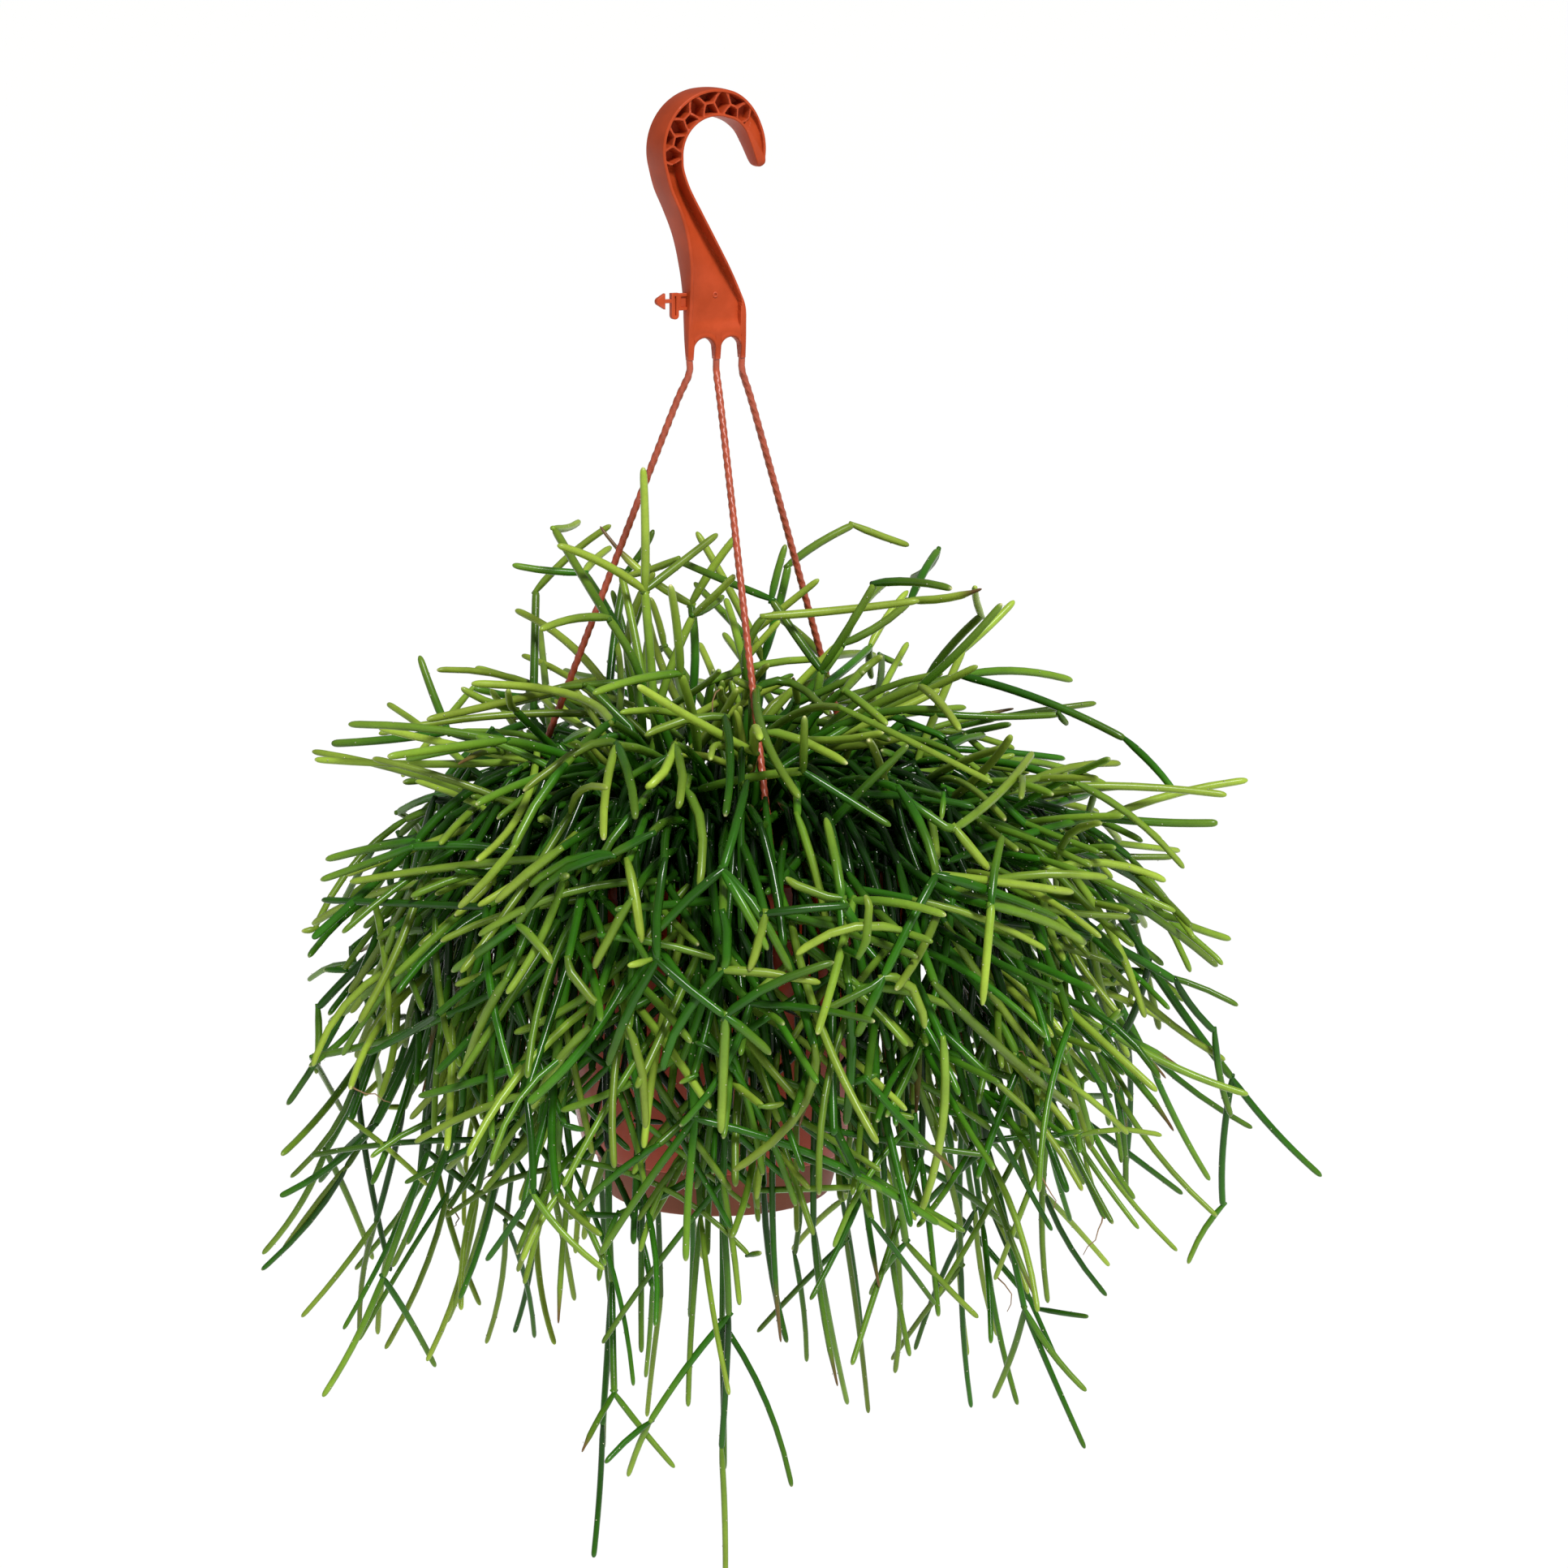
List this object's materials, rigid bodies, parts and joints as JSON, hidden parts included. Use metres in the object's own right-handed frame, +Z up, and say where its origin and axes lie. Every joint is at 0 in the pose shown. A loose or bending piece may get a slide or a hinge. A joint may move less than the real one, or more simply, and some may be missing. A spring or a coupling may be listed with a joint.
{
  "type": "mistletoe cactus in a hanging pot",
  "caption": "Hanging pot plant: slender green stems that fork again and again spill over a tapered terracotta-coloured plastic pot on a hook with three strands.",
  "frame": {"origin": "the top of the hook's throat, where the hook rests on the bar it hangs from, on the pot's axis", "axes": "+Z up along the pot's axis, -Y towards the front of the plant, +X to the right as seen from the front"},
  "size_m": [0.4122, 0.3301, 0.5356],
  "materials": {
    "hanger_plastic": "satin",
    "pot_plastic": "gloss",
    "saucer_plastic": "matte",
    "peat": "matte",
    "stem": "satin"
  },
  "bodies": {
    "root": {"hook": "hanger_plastic", "strand_left": "hanger_plastic", "strand_front": "hanger_plastic", "strand_right": "hanger_plastic", "pot": "pot_plastic", "saucer": "saucer_plastic", "peat": "peat", "spray_01": "stem", "spray_02": "stem", "spray_03": "stem", "spray_04": "stem", "spray_05": "stem", "spray_06": "stem", "spray_07": "stem", "spray_08": "stem", "spray_09": "stem", "spray_10": "stem", "spray_11": "stem", "spray_12": "stem", "spray_13": "stem", "spray_14": "stem", "spray_15": "stem", "spray_16": "stem", "spray_17": "stem", "spray_18": "stem", "spray_19": "stem", "spray_20": "stem", "spray_21": "stem", "spray_22": "stem", "spray_23": "stem", "spray_24": "stem", "spray_25": "stem", "spray_26": "stem", "spray_27": "stem", "spray_28": "stem", "spray_29": "stem", "spray_30": "stem", "spray_31": "stem", "spray_32": "stem", "spray_33": "stem", "spray_34": "stem", "spray_35": "stem", "spray_36": "stem", "spray_37": "stem", "spray_38": "stem", "spray_39": "stem", "spray_40": "stem", "spray_41": "stem", "spray_42": "stem", "spray_43": "stem", "spray_44": "stem", "spray_45": "stem", "spray_46": "stem", "spray_47": "stem", "spray_48": "stem", "spray_49": "stem", "spray_50": "stem"}
  },
  "joints": []
}
